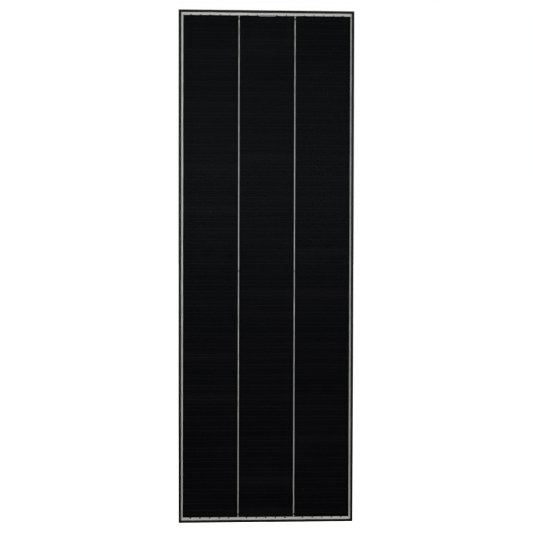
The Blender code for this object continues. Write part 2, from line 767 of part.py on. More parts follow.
def box_lid():
    """The lid's object stands on the hinge axis."""
    inner, outer = (y_at(depth) for depth in LID_DEPTHS)
    hinge = empty("lid_hinge_axis", (0, HINGE_Y, HINGE_Z))
    mesh = box_slab("junction_box_lid", LID_DEPTHS)
    mesh.transform(Matrix.Translation((0, -HINGE_Y, -HINGE_Z)))
    made = place("junction_box_lid", mesh, lid_finish, parent=hinge)

    rib_inset = BOX_WALL + FIT_GAP
    rib_depths = (LID_DEPTHS[0] - LID_RIB, LID_DEPTHS[0] + CUT_OVERRUN)
    combine(made, box_slab("rib", rib_depths, rib_inset), "UNION")
    hollow_depths = (LID_DEPTHS[0] - LID_RIB - CUT_OVERRUN, LID_DEPTHS[0])
    combine(made, box_slab("rib_hollow", hollow_depths, rib_inset + LID_RIB_WALL), "DIFFERENCE")

    def web(side):
        near, far = sorted(side * x for x in KNUCKLE_SPAN)
        overlap, thickness = LID_WEB
        return block_mesh(
            "web", (near, inner, BOX_HIGH[1] - overlap), (far, inner + thickness, HINGE_Z)
        )

    def knuckle(side):
        near, far = sorted(side * x for x in KNUCKLE_SPAN)
        return rod_mesh("knuckle", (near, HINGE_Y, HINGE_Z), (far, HINGE_Y, HINGE_Z), KNUCKLE_RADIUS)

    combine(made, joined_mesh("webs", both_sides(web)), "UNION")
    combine(made, joined_mesh("knuckles", both_sides(knuckle)), "UNION")
    combine(made, on_hinge("pin_bore", PIN_BORE_REACH, HINGE_BORE_RADIUS), "DIFFERENCE")
    half, top = TONGUE_WIDTH / 2, BOX_LOW[1] - FIT_GAP
    low = top - TONGUE_THICKNESS
    neck = block_mesh("tongue_neck", (-half, inner, low), (half, outer, top + BOX_WALL))
    tongue = block_mesh("tongue", (-half, inner - TONGUE_REACH, low), (half, inner + CUT_OVERRUN, top))
    combine(made, neck, "UNION")
    combine(made, tongue, "UNION")
    smooth(made)


def lid_seal():
    slab = box_slab("junction_box_seal", SEAL_DEPTHS, SEAL_INSET)
    made = place("junction_box_seal", slab, rubber_finish)
    through = (SEAL_DEPTHS[0] - CUT_OVERRUN, SEAL_DEPTHS[1] + CUT_OVERRUN)
    combine(made, box_slab("seal_inside", through, SEAL_INSET + SEAL_WIDTH), "DIFFERENCE")


def hinge_pin():
    smooth(place("hinge_pin", on_hinge("hinge_pin", EAR_SPAN[1] + PIN_END, HINGE_PIN_RADIUS), pin_finish))


def terminal(name, x):
    """A Z-shaped plate: a foot on the box's floor and a raised landing."""
    low, high = TERMINAL_Z
    foot = y_at(BOX_DEPTHS[0] + BOX_FLOOR + FIT_GAP + TERMINAL_THICKNESS / 2)
    landing = y_at(TERMINAL_TOP_DEPTH - TERMINAL_THICKNESS / 2)
    bend, shoulder = (low + rise for rise in TERMINAL_BENDS)
    path = [(foot, low), (foot, bend), (landing, shoulder), (landing, high)]
    bent_strip(name, path, TERMINAL_WIDTH, TERMINAL_THICKNESS, terminal_finish, x)


def bypass_diode(name, x):
    """An axial diode lying along X, with a wire on each of two terminals."""
    radius, length = DIODE_BODY
    lead_y = y_at(TERMINAL_TOP_DEPTH) + FIT_GAP + DIODE_LEAD_RADIUS
    half_lead, half_body = DIODE_LEAD_SPAN / 2, length / 2
    profile = [
        (0, half_lead),
        (DIODE_LEAD_RADIUS, half_lead),
        (DIODE_LEAD_RADIUS, half_body),
        (radius - DIODE_EDGE, half_body),
        (radius, half_body - DIODE_EDGE),
        (radius, DIODE_EDGE - half_body),
        (radius - DIODE_EDGE, -half_body),
        (DIODE_LEAD_RADIUS, -half_body),
        (DIODE_LEAD_RADIUS, -half_lead),
        (0, -half_lead),
    ]
    place_at, lying = (x, lead_y, DIODE_Z), (0, math.radians(90), 0)
    turned(name, profile, diode_finish, place_at, lying, hollow=False, steps=SMALL_STEPS)


def cable_gland(side_name, side):
    """A hollow body through the box's lower wall, the rubber seal on its end and the cap nut over both."""
    centre = (side * GLAND_X, GLAND_Y, BOX_LOW[1])
    body = [
        (GLAND_THREAD, GLAND_INSIDE),
        (GLAND_THREAD, -FIT_GAP),
        (GLAND_COLLAR, -FIT_GAP),
        (GLAND_COLLAR, GLAND_COLLAR_FOOT),
        (GLAND_THREAD, GLAND_COLLAR_FOOT),
        (GLAND_THREAD, GLAND_TIP),
        (GLAND_BORE, GLAND_TIP),
        (GLAND_BORE, GLAND_INSIDE),
    ]
    turned(f"gland_body_{side_name}", body, box_finish, centre)

    seal_top = GLAND_TIP - FIT_GAP
    seal_foot = seal_top - GLAND_SEAL_LENGTH
    seal_radius = GLAND_THREAD - LAYER_GAP
    seal = [
        (seal_radius, seal_top),
        (seal_radius, seal_foot),
        (NUT_MOUTH, seal_foot),
        (NUT_MOUTH, seal_top),
    ]
    turned(f"gland_seal_{side_name}", seal, rubber_finish, centre)

    nut_top, nut_step = GLAND_COLLAR_FOOT - FIT_GAP, seal_foot - FIT_GAP
    nut_foot = seal_foot - GLAND_NUT_FOOT
    name = f"gland_nut_{side_name}"
    nut = place(name, upright_rod(name, nut_foot, nut_top, NUT_RADIUS, 6), box_finish, centre)
    thread = upright_rod("thread_bore", nut_step, nut_top + CUT_OVERRUN, GLAND_HOLE)
    mouth = upright_rod("mouth_bore", nut_foot - CUT_OVERRUN, nut_step + CUT_OVERRUN, NUT_MOUTH)
    combine(nut, thread, "DIFFERENCE", parent=nut)
    combine(nut, mouth, "DIFFERENCE", parent=nut)
    smooth(nut)


adhesive_pad()
box_base()
box_lid()
lid_seal()
hinge_pin()
for end, (lead_x, _) in lead_joints.items():
    terminal(f"{end}_terminal", lead_x)
bypass_diode("bypass_diode_left", -LEAD_SPACING / 2)
bypass_diode("bypass_diode_right", LEAD_SPACING / 2)
cable_gland("left", -1)
cable_gland("right", 1)
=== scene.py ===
"""A framed solar panel with shingled cells: the looks of its glass, cells, frame and junction box.

Metres, +Z up, and the glass faces -Y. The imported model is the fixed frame. New pieces stand where its
nodes say, and ride on the panel or on the lid of its junction box.
"""

import json
import math
import random

import bmesh
import bpy
from mathutils import Matrix, Vector, noise


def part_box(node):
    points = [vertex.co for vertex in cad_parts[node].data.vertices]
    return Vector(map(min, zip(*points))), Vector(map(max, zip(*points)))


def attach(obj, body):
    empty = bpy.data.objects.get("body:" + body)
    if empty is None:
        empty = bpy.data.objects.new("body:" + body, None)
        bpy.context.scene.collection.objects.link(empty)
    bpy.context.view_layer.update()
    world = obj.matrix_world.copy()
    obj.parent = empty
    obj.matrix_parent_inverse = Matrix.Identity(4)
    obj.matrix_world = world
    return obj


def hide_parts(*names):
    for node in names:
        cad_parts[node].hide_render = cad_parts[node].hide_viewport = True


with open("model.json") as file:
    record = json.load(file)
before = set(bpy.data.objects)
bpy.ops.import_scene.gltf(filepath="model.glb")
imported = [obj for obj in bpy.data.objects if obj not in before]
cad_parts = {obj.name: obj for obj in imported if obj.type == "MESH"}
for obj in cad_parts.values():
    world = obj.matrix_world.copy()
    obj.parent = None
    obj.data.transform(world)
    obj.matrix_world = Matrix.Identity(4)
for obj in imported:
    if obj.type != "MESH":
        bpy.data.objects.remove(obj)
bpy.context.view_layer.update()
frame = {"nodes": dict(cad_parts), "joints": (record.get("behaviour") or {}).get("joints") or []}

MILLI = 0.001
COLUMNS = ("left", "middle", "right")
SIDES = ("left", "right")
ENDS = ("top", "bottom")
LEADS = ("top", "middle", "bottom")
ON_PLANE = 1e-6  # how near a plane a vertex counts as on it
WELD = 1e-7

# Cells. A shingle's lower edge lies over the top of the next one.
SHINGLES_PER_STRING = 24
SHINGLE_OVERLAP = 1.3 * MILLI
SHINGLE_THICKNESS = 0.16 * MILLI
SHINGLE_EDGE = 0.03 * MILLI
FINGER_PITCH = 1.4 * MILLI
FINGER_MARGIN = 1.1 * MILLI
CROSS_LINE = 0.9 * MILLI
BRIGHT_LINES = (9.65 * MILLI, 19.65 * MILLI)
# Painted shade: two dark bands across each shingle stand in for the shadow of the shingle overlaps; their
# width and places.
PAINTED_SHADE_WIDTH = 2.4 * MILLI
PAINTED_SHADE_BANDS = (4.2 * MILLI, 15.2 * MILLI)
LIGHTER_SHINGLES = 0.12
SHINGLE_MAP = "shingle_map"
TONE = "tone"

# Back sheet, and the bead along its edges.
SHEET_RISE = 0.07 * MILLI
SHEET_RAMP = 1.6 * MILLI
SLIT_ABOVE_INSULATION = 4.0 * MILLI
SLIT_HALF_WIDTH = 3.25 * MILLI
SLIT_HALF_HEIGHT = 1.1 * MILLI
BEAD_FREE_FACE = 10.7 * MILLI  # inward from the outside of the frame
BEAD_REACH = 2.5 * MILLI

# Junction box.
SEAL_INSET = 0.4 * MILLI
FIT_GAP = 0.3 * MILLI
BOX_WALL = 2.0 * MILLI
BOX_CORNER = 4.0 * MILLI
LID_RIB = 1.5 * MILLI
LID_RIB_WIDTH = 1.2 * MILLI
GROOVE_INSET = 6.0 * MILLI
GROOVE_WIDTH = 3.0 * MILLI
GROOVE_DEPTH = 0.6 * MILLI
WINDOW_SIZE = (64 * MILLI, 8 * MILLI)
SOFT_EDGE = 0.3 * MILLI
FLOOR_EDGE = 0.5 * MILLI
COVER_EDGE = 0.7 * MILLI
POCKET_TAPER = 0.2 * MILLI
EAR_FOOT = (5.5 * MILLI, 1.2 * MILLI)  # its front and rear, counted forward from the hinge
WEB_THICKNESS = 1.8 * MILLI
WEB_EDGE = 0.2 * MILLI
RIB_ROOT = 0.5 * MILLI
TONGUE_HALF_WIDTH = 8 * MILLI
TONGUE_DROP = 1.7 * MILLI
TONGUE_REACH = 4.5 * MILLI
NECK_OVERLAP = 1.5 * MILLI
EAR_SPAN = (31.0 * MILLI, 35.5 * MILLI)
EAR_RADIUS = 3.0 * MILLI
KNUCKLE_SPAN = (22.0 * MILLI, 30.6 * MILLI)
KNUCKLE_RADIUS = 2.6 * MILLI
PIN_BORE = 1.2 * MILLI
PIN_BORE_REACH = 40 * MILLI
GLAND_HOLE = 4.7 * MILLI
GLAND_THREAD = 4.4 * MILLI
GLAND_BORE = 3.3 * MILLI
RING_BULGE = 0.5 * MILLI
CAP_EDGE = 0.4 * MILLI
CAP_HEXAGON = 0.52  # share of the cap's height above its dome
DOME_TIP = 0.60  # shares of the cap's radius: the dome's tip, and how much wider it is at its foot
DOME_FLARE = 0.42
DIODE_WIRE = 0.6 * MILLI
DIODE_HALF = 4.5 * MILLI
DIODE_EDGE = 0.5 * MILLI

# Stage.
CAMERA_PLACE = (-0.1749, -3.5158, 0.0787)
CAMERA_TURN = (88.7548, -0.1095, -2.8787)
CAMERA_LENS = 81.05
FLOOR_HEIGHT = -1.15
FLOOR_RADIUS = 60.0
SURROUND = 0.12
# Greys of the room that the glass mirrors, from below to above.
ROOM = ((0.0, 0.35), (0.32, 0.30), (0.38, 0.02), (0.46, 0.05), (0.525, 0.14), (0.58, 0.07), (1.0, 0.12))


# --- Node trees ---------------------------------------------------------------------------------


class Signal:
    """One output of a node. Arithmetic on it adds the Math nodes that it needs."""

    def __init__(self, recipe, socket):
        self.recipe = recipe
        self.socket = socket

    def __add__(self, other):
        return self.recipe.maths("ADD", self, other)

    __radd__ = __add__

    def __sub__(self, other):
        return self.recipe.maths("SUBTRACT", self, other)

    def __rsub__(self, other):
        return self.recipe.maths("SUBTRACT", other, self)

    def __mul__(self, other):
        return self.recipe.maths("MULTIPLY", self, other)

    __rmul__ = __mul__

    def __truediv__(self, other):
        return self.recipe.maths("DIVIDE", self, other)

    def __pow__(self, power):
        return self.recipe.maths("POWER", self, power)

    def __mod__(self, length):
        return self.recipe.maths("FLOORED_MODULO", self, length)

    def __gt__(self, limit):
        return self.recipe.maths("GREATER_THAN", self, limit)

    def __lt__(self, limit):
        return self.recipe.maths("LESS_THAN", self, limit)

    def __abs__(self):
        return self.recipe.maths("ABSOLUTE", self)


class Recipe:
    """A node tree in the making: every node in it comes from one call of node."""

    def __init__(self, tree):
        self.tree = tree
        tree.nodes.clear()

    def node(self, kind, settings=None, inputs=None, output=0):
        """Adds a node, makes its settings, then fills its inputs, and returns one of its outputs."""
        added = self.tree.nodes.new(kind)
        for name, value in (settings or {}).items():
            if name == "stops":
                self.set_stops(added.color_ramp.elements, value)
            else:
                setattr(added, name, value)
        for key, value in (inputs or {}).items():
            if isinstance(value, Signal):
                self.tree.links.new(value.socket, added.inputs[key])
            else:
                added.inputs[key].default_value = value
        return Signal(self, added.outputs[output] if added.outputs else None)

    def set_stops(self, elements, stops):
        """A ramp's stops, as (position, grey or colour)."""
        while len(elements) < len(stops):
            elements.new(1.0)
        for element, (position, colour) in zip(elements, stops):
            element.position = position
            element.color = (*colour, 1.0) if isinstance(colour, tuple) else (colour, colour, colour, 1.0)

    def maths(self, operation, *values):
        return self.node("ShaderNodeMath", {"operation": operation}, dict(enumerate(values)))

    def place(self, scale=(1, 1, 1), centre=(0, 0, 0)):
        """Object coordinates, counted from a centre and stretched."""
        spot = self.node("ShaderNodeTexCoord", output="Object")
        offset = [-c * s for c, s in zip(centre, scale)]
        return self.node("ShaderNodeMapping", None, {"Vector": spot, "Location": offset, "Scale": scale})

    def split(self, vector):
        made = self.node("ShaderNodeSeparateXYZ", None, {0: vector})
        node = made.socket.node
        return [Signal(self, output) for output in node.outputs]

    def noise(self, place, scale=1.0, detail=2.0, roughness=0.5):
        inputs = {"Vector": place, "Scale": scale, "Detail": detail, "Roughness": roughness}
        return self.node("ShaderNodeTexNoise", None, inputs)

    def blend(self, share, low, high):
        """A colour between two, which are signals or (red, green, blue)."""
        low, high = (c if isinstance(c, Signal) else (*c, 1.0) for c in (low, high))
        return self.node("ShaderNodeMix", {"data_type": "RGBA"}, {0: share, 6: low, 7: high}, output=2)

    def ramp(self, value, stops):
        return self.node("ShaderNodeValToRGB", {"stops": stops}, {0: value})

    def bump(self, height, depth, strength=1.0):
        inputs = {"Height": height, "Distance": depth, "Strength": strength}
        return self.node("ShaderNodeBump", None, inputs)

    def ridge(self, value, centre, width):
        """1 on a line and 0 past half its width."""
        return self.maths("MAXIMUM", 1 - abs(value - centre) / (width / 2), 0.0)

    def output(self, shader):
        self.node("ShaderNodeOutputMaterial", None, {"Surface": shader})

    def surface(self, **inputs):
        """The Principled shader, with its inputs named in lower case with underscores."""
        named = {}
        for name, value in inputs.items():
            words = [word if word == "IOR" else word.capitalize() for word in name.split("_")]
            named[" ".join(words)] = (*value, 1.0) if isinstance(value, tuple) else value
        shader = self.node("ShaderNodeBsdfPrincipled", None, named)
        self.output(shader)


def new_finish(name):
    made = bpy.data.materials.new(name)
    made.use_nodes = True
    return made, Recipe(made.node_tree)


# --- Finishes -----------------------------------------------------------------------------------


def silicon_finish():
    """Dark cells with fine vertical fingers, faint cross lines and bands of painted shade, a little different
    in each.
    """
    made, recipe = new_finish("dark_silicon")
    across, down, _ = recipe.split(recipe.node("ShaderNodeUVMap", {"uv_map": SHINGLE_MAP}))
    tone = recipe.node("ShaderNodeAttribute", {"attribute_name": TONE}, output="Fac")
    cloud = recipe.noise(recipe.place(), 25.0)
    wave = recipe.maths("COSINE", across * (2 * math.pi / FINGER_PITCH))
    low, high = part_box("cell_string_middle_upper")
    half_width = (high.x - low.x) / 2
    fingers = (0.5 + 0.5 * wave) ** 6 * (abs(across) < half_width - FINGER_MARGIN)
    bright = sum(recipe.ridge(down, place, CROSS_LINE) for place in BRIGHT_LINES)
    # Painted shade: dark bands for the shadow of the shingle overlaps darken the silicon and hide its
    # fingers.
    dark = sum(recipe.ridge(down, place, PAINTED_SHADE_WIDTH) for place in PAINTED_SHADE_BANDS)
    paleness = tone + 0.2 * cloud - 0.12 * dark
    silicon = recipe.blend(paleness, (0.0003, 0.0005, 0.0009), (0.0033, 0.0033, 0.0036))
    silver = 0.0025 * fingers * (1 - dark) + 0.036 * bright
    colour = recipe.blend(silver, silicon, (0.42, 0.42, 0.42))
    recipe.surface(
        base_color=colour,
        roughness=0.44 + 0.12 * cloud,
        specular_IOR_level=0.0,
        normal=recipe.bump(fingers, 0.01 * MILLI, 0.4),
    )
    return made


def glass_finish():
    """Clear glass with a satin anti-glare face: it mirrors little head on and more at a slant."""
    made, recipe = new_finish("solar_glass")
    slant = recipe.node("ShaderNodeLayerWeight", None, {"Blend": 0.5}, output="Facing")
    ripple = recipe.bump(recipe.noise(recipe.place(), 900.0, 1.0), 0.02 * MILLI, 0.25)
    satin = {"Color": (0.72, 0.88, 1.0, 1), "Roughness": 0.11, "Normal": ripple}
    mirror = recipe.node("ShaderNodeBsdfGlossy", {"distribution": "BECKMANN"}, satin)
    clear = recipe.node("ShaderNodeBsdfTransparent", None, {"Color": (0.985, 0.985, 0.975, 1)})
    share = 0.016 + 0.9 * slant**5
    recipe.output(recipe.node("ShaderNodeMixShader", None, {0: share, 1: clear, 2: mirror}))
    return made


def film_finish():
    """The clear film that bonds the cells, with a trace of haze."""
    made, recipe = new_finish("clear_film")
    milky = {"Base Color": (0.8, 0.8, 0.78, 1), "Roughness": 0.6}
    haze = recipe.node("ShaderNodeBsdfPrincipled", None, milky)
    clear = recipe.node("ShaderNodeBsdfTransparent", None, {"Color": (0.992, 0.99, 0.985, 1)})
    share = 0.0003 + 0.0006 * recipe.noise(recipe.place(), 12.0)
    recipe.output(recipe.node("ShaderNodeMixShader", None, {0: share, 1: clear, 2: haze}))
    return made


def plain_finish(name, dark, light, roughness, grain, depth, **constants):
    """A finish with a grain so many to the metre, which shows in its colour, its gloss and its relief."""
    made, recipe = new_finish(name)
    fine = recipe.noise(recipe.place(), grain, 3.0)
    cloud = recipe.noise(recipe.place(), grain / 40, 2.0)
    recipe.surface(
        base_color=recipe.blend(0.5 * fine + 0.5 * cloud, dark, light),
        roughness=roughness - 0.06 + 0.12 * fine,
        normal=recipe.bump(fine, depth, 0.6),
        **constants,
    )
    return made


def anodised_finish(name, along):
    """Black anodised aluminium with the faint die lines of an extrusion along one axis."""
    made, recipe = new_finish(name)
    stretch = [1400.0] * 3
    stretch[along] = 4.0
    lines = recipe.noise(recipe.place(stretch), 1.0, 3.0, 0.7)
    cloud = recipe.noise(recipe.place(), 30.0, 3.0)
    recipe.surface(
        base_color=recipe.blend(0.6 * lines + 0.4 * cloud, (0.004, 0.004, 0.0043), (0.012, 0.012, 0.0125)),
        metallic=0.3,
        specular_IOR_level=0.12,
        roughness=0.38 + 0.16 * lines,
        normal=recipe.bump(lines, 0.02 * MILLI, 0.5),
    )
    return made


def serial_finish():
    """A small grey film label with a regular row of pale bars."""
    made, recipe = new_finish("serial_label_film")
    across = recipe.split(recipe.place())[0]
    bars = (across % (1.6 * MILLI)) > 0.9 * MILLI
    recipe.surface(
        base_color=recipe.blend(bars, (0.17, 0.20, 0.25), (0.34, 0.37, 0.42)),
        roughness=0.5,
    )
    return made


def rating_finish():
    """A blank silver film plate, with a thin printed border and ruled rows."""
    made, recipe = new_finish("rating_plate_film")
    low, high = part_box("rating_plate")
    centre = (low + high) / 2
    across, _, up = recipe.split(recipe.place(centre=centre))
    half_width, half_height = (high.x - low.x) / 2, (high.z - low.z) / 2
    border = 3.0 * MILLI
    inside = (abs(across) < half_width - border) * (abs(up) < half_height - border)
    core = (abs(across) < half_width - border - 0.4 * MILLI) * (abs(up) < half_height - border - 0.4 * MILLI)
    rows = ((up + half_height) % (9.25 * MILLI)) < 0.3 * MILLI
    ink = recipe.maths("MINIMUM", inside - core + rows * inside, 1.0)
    sheen = recipe.noise(recipe.place((2500.0, 1.0, 12.0)), 1.0, 2.0)
    paper = recipe.blend(sheen, (0.52, 0.53, 0.54), (0.66, 0.67, 0.68))
    recipe.surface(
        base_color=recipe.blend(ink, paper, (0.05, 0.05, 0.055)),
        metallic=0.35 - 0.35 * ink,
        roughness=0.36 + 0.1 * sheen,
    )
    return made


def diode_finish(centre, half_body):
    """A moulded black body with a pale band near one end, on tinned wires."""
    made, recipe = new_finish("diode_moulding")
    across = recipe.split(recipe.place(centre=centre))[0]
    wire = abs(across) > half_body - 0.1 * MILLI
    band = recipe.ridge(across, half_body * 0.55, 2.4 * MILLI) > 0.3
    grain = recipe.noise(recipe.place(), 5000.0)
    body = recipe.blend(band, (0.018, 0.018, 0.019), (0.42, 0.42, 0.43))
    recipe.surface(
        base_color=recipe.blend(wire, body, (0.60, 0.59, 0.56)),
        metallic=wire,
        roughness=0.42 - 0.12 * wire + 0.08 * grain,
        normal=recipe.bump(grain, 0.02 * MILLI, 0.4),
    )
    return made


# --- Shapes -------------------------------------------------------------------------------------


def add_block(bm, low, high):
    low, high = Vector(low), Vector(high)
    matrix = Matrix.Translation((low + high) / 2) @ Matrix.Diagonal((*(high - low), 1.0))
    return bmesh.ops.create_cube(bm, size=1.0, matrix=matrix)["verts"]


def round_off(bm, edges, radius, segments=4):
    bmesh.ops.bevel(
        bm, geom=edges, offset=radius, segments=segments, profile=0.5, affect="EDGES", material=-1
    )


def edges_along(bm, axis):
    return [e for e in bm.edges if abs((e.verts[1].co - e.verts[0].co).normalized()[axis]) > 0.99]


def edges_at(bm, axis, place):
    return [e for e in bm.edges if all(abs(v.co[axis] - place) < ON_PLANE for v in e.verts)]


def face_at(bm, axis, place):
    """The widest face that lies flat at a place along an axis."""
    flat = [f for f in bm.faces if all(abs(v.co[axis] - place) < ON_PLANE for v in f.verts)]
    return max(flat, key=lambda f: f.calc_area())


def slab(low, high, corner, segments=8):
    """A block with its edges along Y rounded."""
    bm = bmesh.new()
    add_block(bm, low, high)
    round_off(bm, edges_along(bm, 1), corner, segments)
    return bm


def block(low, high, edge=0.0):
    bm = bmesh.new()
    add_block(bm, low, high)
    if edge:
        round_off(bm, bm.edges[:], edge, 2)
    return bm


def rod(start, end, radius, segments=40, edge=0.0):
    """A cylinder or prism between two points, with the rims of its ends rounded."""
    start, end = Vector(start), Vector(end)
    length = (end - start).length
    bm = bmesh.new()
    bmesh.ops.create_cone(
        bm, cap_ends=True, segments=segments, radius1=radius, radius2=radius, depth=length
    )
    if edge:
        round_off(bm, edges_at(bm, 2, length / 2) + edges_at(bm, 2, -length / 2), edge, 2)
    turn = Vector((0, 0, 1)).rotation_difference(end - start).to_matrix().to_4x4()
    bmesh.ops.transform(bm, matrix=Matrix.Translation((start + end) / 2) @ turn, verts=bm.verts)
    return bm


def turned(profile, centre, hollow=True, lying=False, steps=48):
    """Spun from (radius, height) points about the vertical through a centre, or about X if it's lying."""
    bm = bmesh.new()
    corners = [bm.verts.new((radius, 0, height)) for radius, height in profile]
    edges = [bm.edges.new(pair) for pair in zip(corners, corners[1:])]
    if hollow:
        edges.append(bm.edges.new((corners[-1], corners[0])))
    bmesh.ops.spin(
        bm,
        geom=corners + edges,
        cent=(0, 0, 0),
        axis=(0, 0, 1),
        angle=2 * math.pi,
        steps=steps,
        use_merge=True,
    )
    bmesh.ops.remove_doubles(bm, verts=bm.verts, dist=WELD)
    bmesh.ops.recalc_face_normals(bm, faces=bm.faces)
    turn = Matrix.Rotation(math.radians(90 if lying else 0), 4, "Y")
    bmesh.ops.transform(bm, matrix=Matrix.Translation(centre) @ turn, verts=bm.verts)
    return bm


def stepped(bm, face, *steps):
    """Insets a face by each (width, rise) in turn. A rise below 0 sinks it."""
    for width, rise in steps:
        bmesh.ops.inset_region(
            bm, faces=[face], thickness=width, depth=rise, use_even_offset=True, use_boundary=True
        )


def loose_object(name, bm):
    mesh = bpy.data.meshes.new(name)
    bm.to_mesh(mesh)
    bm.free()
    made = bpy.data.objects.new(name, mesh)
    bpy.context.scene.collection.objects.link(made)
    return made


def carved(bm, *steps):
    """A shape after Boolean steps, each an operation and the shape that it joins on or cuts away."""
    work = loose_object("work", bm)
    helpers = []
    for operation, shape in steps:
        helper = loose_object("helper", shape)
        helpers.append(helper)
        boolean = work.modifiers.new(operation, "BOOLEAN")
        boolean.operation = operation
        boolean.solver = "EXACT"
        boolean.object = helper
    graph = bpy.context.evaluated_depsgraph_get()
    result = bmesh.new()
    result.from_mesh(work.evaluated_get(graph).to_mesh())
    for done in (work, *helpers):
        bpy.data.objects.remove(done)
    return result


def piece(name, bm, finish, body, slot, *nodes, crease=35):
    """A finished piece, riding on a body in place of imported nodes."""
    made = loose_object(name, bm)
    made.data.materials.append(finish)
    made.data.shade_smooth()
    made.data.set_sharp_from_angle(angle=math.radians(crease))
    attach(made, body)
    if nodes:
        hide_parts(*nodes)
    return made


def dress(finish, *nodes, shadow=True):
    """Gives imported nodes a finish. A clear one throws no shadow."""
    for node in nodes:
        frame["nodes"][node].visible_shadow = shadow
        slots = frame["nodes"][node].data.materials
        slots.clear()
        slots.append(finish)


# --- Cells --------------------------------------------------------------------------------------


def shingle_strings(finish):
    """The cells, one plate each, lapped down every column and leaning as the whole block does."""
    chance = random.Random(17)
    for column in COLUMNS:
        upper, lower = (f"cell_string_{column}_{half}" for half in ("upper", "lower"))
        (low, join), (foot, _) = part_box(upper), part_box(lower)
        upper_middle, lower_middle = (sum(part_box(node), Vector()) / 2 for node in (upper, lower))
        rise = upper_middle - lower_middle
        lean = math.atan2(rise.x, rise.z)
        centre = (upper_middle + lower_middle) / 2
        width = join.x - low.x - (join.z - low.z) * math.sin(lean)
        top, bottom = join.z, foot.z
        pitch = (top - bottom) / (2 * SHINGLES_PER_STRING)
        slope = math.atan2(join.y - low.y - SHINGLE_THICKNESS, pitch + SHINGLE_OVERLAP)
        turn = Matrix.Translation(centre) @ Matrix.Rotation(lean, 4, "Y") @ Matrix.Translation(-centre)
        for number, (half, node) in enumerate((("upper", upper), ("lower", lower))):
            bm = bmesh.new()
            mapping = bm.loops.layers.uv.new(SHINGLE_MAP)
            tone = bm.faces.layers.float.new(TONE)
            for row in range(SHINGLES_PER_STRING):
                head = top - (number * SHINGLES_PER_STRING + row) * pitch
                length = min(pitch + SHINGLE_OVERLAP, head - bottom)
                spot = Matrix.Translation((centre.x, (low.y + join.y) / 2, head - length / 2))
                tilt = Matrix.Rotation(-slope, 4, "X")
                add_shingle(bm, turn @ spot @ tilt, width, length, mapping, tone, chance)
            piece(f"shingles_{column}_{half}", bm, finish, "panel", "solar_cell", node)


def add_shingle(bm, place, width, length, mapping, tone, chance):
    """One cell strip. Its map gives metres across from its middle and down from its top edge."""
    shingle = bmesh.new()
    half = Vector((width, SHINGLE_THICKNESS, length)) / 2
    add_block(shingle, -half, half)
    round_off(shingle, shingle.edges[:], SHINGLE_EDGE, 1)
    own_map = shingle.loops.layers.uv.new(SHINGLE_MAP)
    own_tone = shingle.faces.layers.float.new(TONE)
    shade = chance.gauss(0.22, 0.07) + (0.4 if chance.random() < LIGHTER_SHINGLES else 0.0)
    for face in shingle.faces:
        face[own_tone] = shade
        for corner in face.loops:
            corner[own_map].uv = (corner.vert.co.x, length / 2 - corner.vert.co.z)
    bmesh.ops.transform(shingle, matrix=place, verts=shingle.verts)
    strip = bpy.data.meshes.new("shingle")
    shingle.to_mesh(strip)
    shingle.free()
    bm.from_mesh(strip)
    bpy.data.meshes.remove(strip)


# --- Back of the laminate -----------------------------------------------------------------------


def back_sheet(finish):
    """The white sheet, risen a hair over the ribbons behind the cells, with a slit for each lead."""
    low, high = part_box("backsheet")
    ribbons = ("top_bus_ribbon", "bottom_bus_ribbon", "mid_tap_ribbon")
    insulation = ("middle_lead_insulation", "bottom_lead_insulation")
    strips = [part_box(node) for node in ribbons + insulation]
    slits = []
    for end in LEADS:
        lead_low, lead_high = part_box(f"{end}_lead_ribbon")
        x, z = (lead_low.x + lead_high.x) / 2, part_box("middle_lead_insulation")[1].z + SLIT_ABOVE_INSULATION
        slit_low = Vector((x - SLIT_HALF_WIDTH, 0, z - SLIT_HALF_HEIGHT))
        slit_high = Vector((x + SLIT_HALF_WIDTH, 0, z + SLIT_HALF_HEIGHT))
        slits.append((slit_low, slit_high))
    bm = bmesh.new()
    bmesh.ops.create_grid(bm, x_segments=1, y_segments=1, size=0.5)
    size = high - low
    flat = Matrix.Translation(((low.x + high.x) / 2, low.y, (low.z + high.z) / 2))
    flat = flat @ Matrix.Rotation(math.radians(90), 4, "X") @ Matrix.Diagonal((size.x, size.z, 1, 1))
    bmesh.ops.transform(bm, matrix=flat, verts=bm.verts)
    for first, last in strips + slits:
        for axis in (0, 2):
            normal = Vector((axis == 0, 0, axis == 2))
            edges = [first[axis], last[axis]]
            if (first, last) not in slits:
                edges += [first[axis] - SHEET_RAMP, last[axis] + SHEET_RAMP]
            for place in edges:
                bmesh.ops.bisect_plane(
                    bm, geom=bm.verts[:] + bm.edges[:] + bm.faces[:], plane_co=normal * place, plane_no=normal
                )
    hair = 1e-5
    for vertex in bm.verts:
        for first, last in strips:
            if all(first[axis] - hair < vertex.co[axis] < last[axis] + hair for axis in (0, 2)):
                vertex.co.y = low.y + SHEET_RISE
    holes = []
    for face in bm.faces:
        spot = face.calc_center_median()
        if any(first.x < spot.x < last.x and first.z < spot.z < last.z for first, last in slits):
            holes.append(face)
    bmesh.ops.delete(bm, geom=holes, context="FACES")
    bmesh.ops.recalc_face_normals(bm, faces=bm.faces)
    if face_at(bm, 1, low.y).normal.y < 0:
        bmesh.ops.reverse_faces(bm, faces=bm.faces)
    bmesh.ops.solidify(bm, geom=bm.faces[:], thickness=-(high.y - low.y))
    bmesh.ops.recalc_face_normals(bm, faces=bm.faces)
    piece("white_back_sheet", bm, finish, "panel", "backsheet", "backsheet", crease=60)


# --- Junction box -------------------------------------------------------------------------------


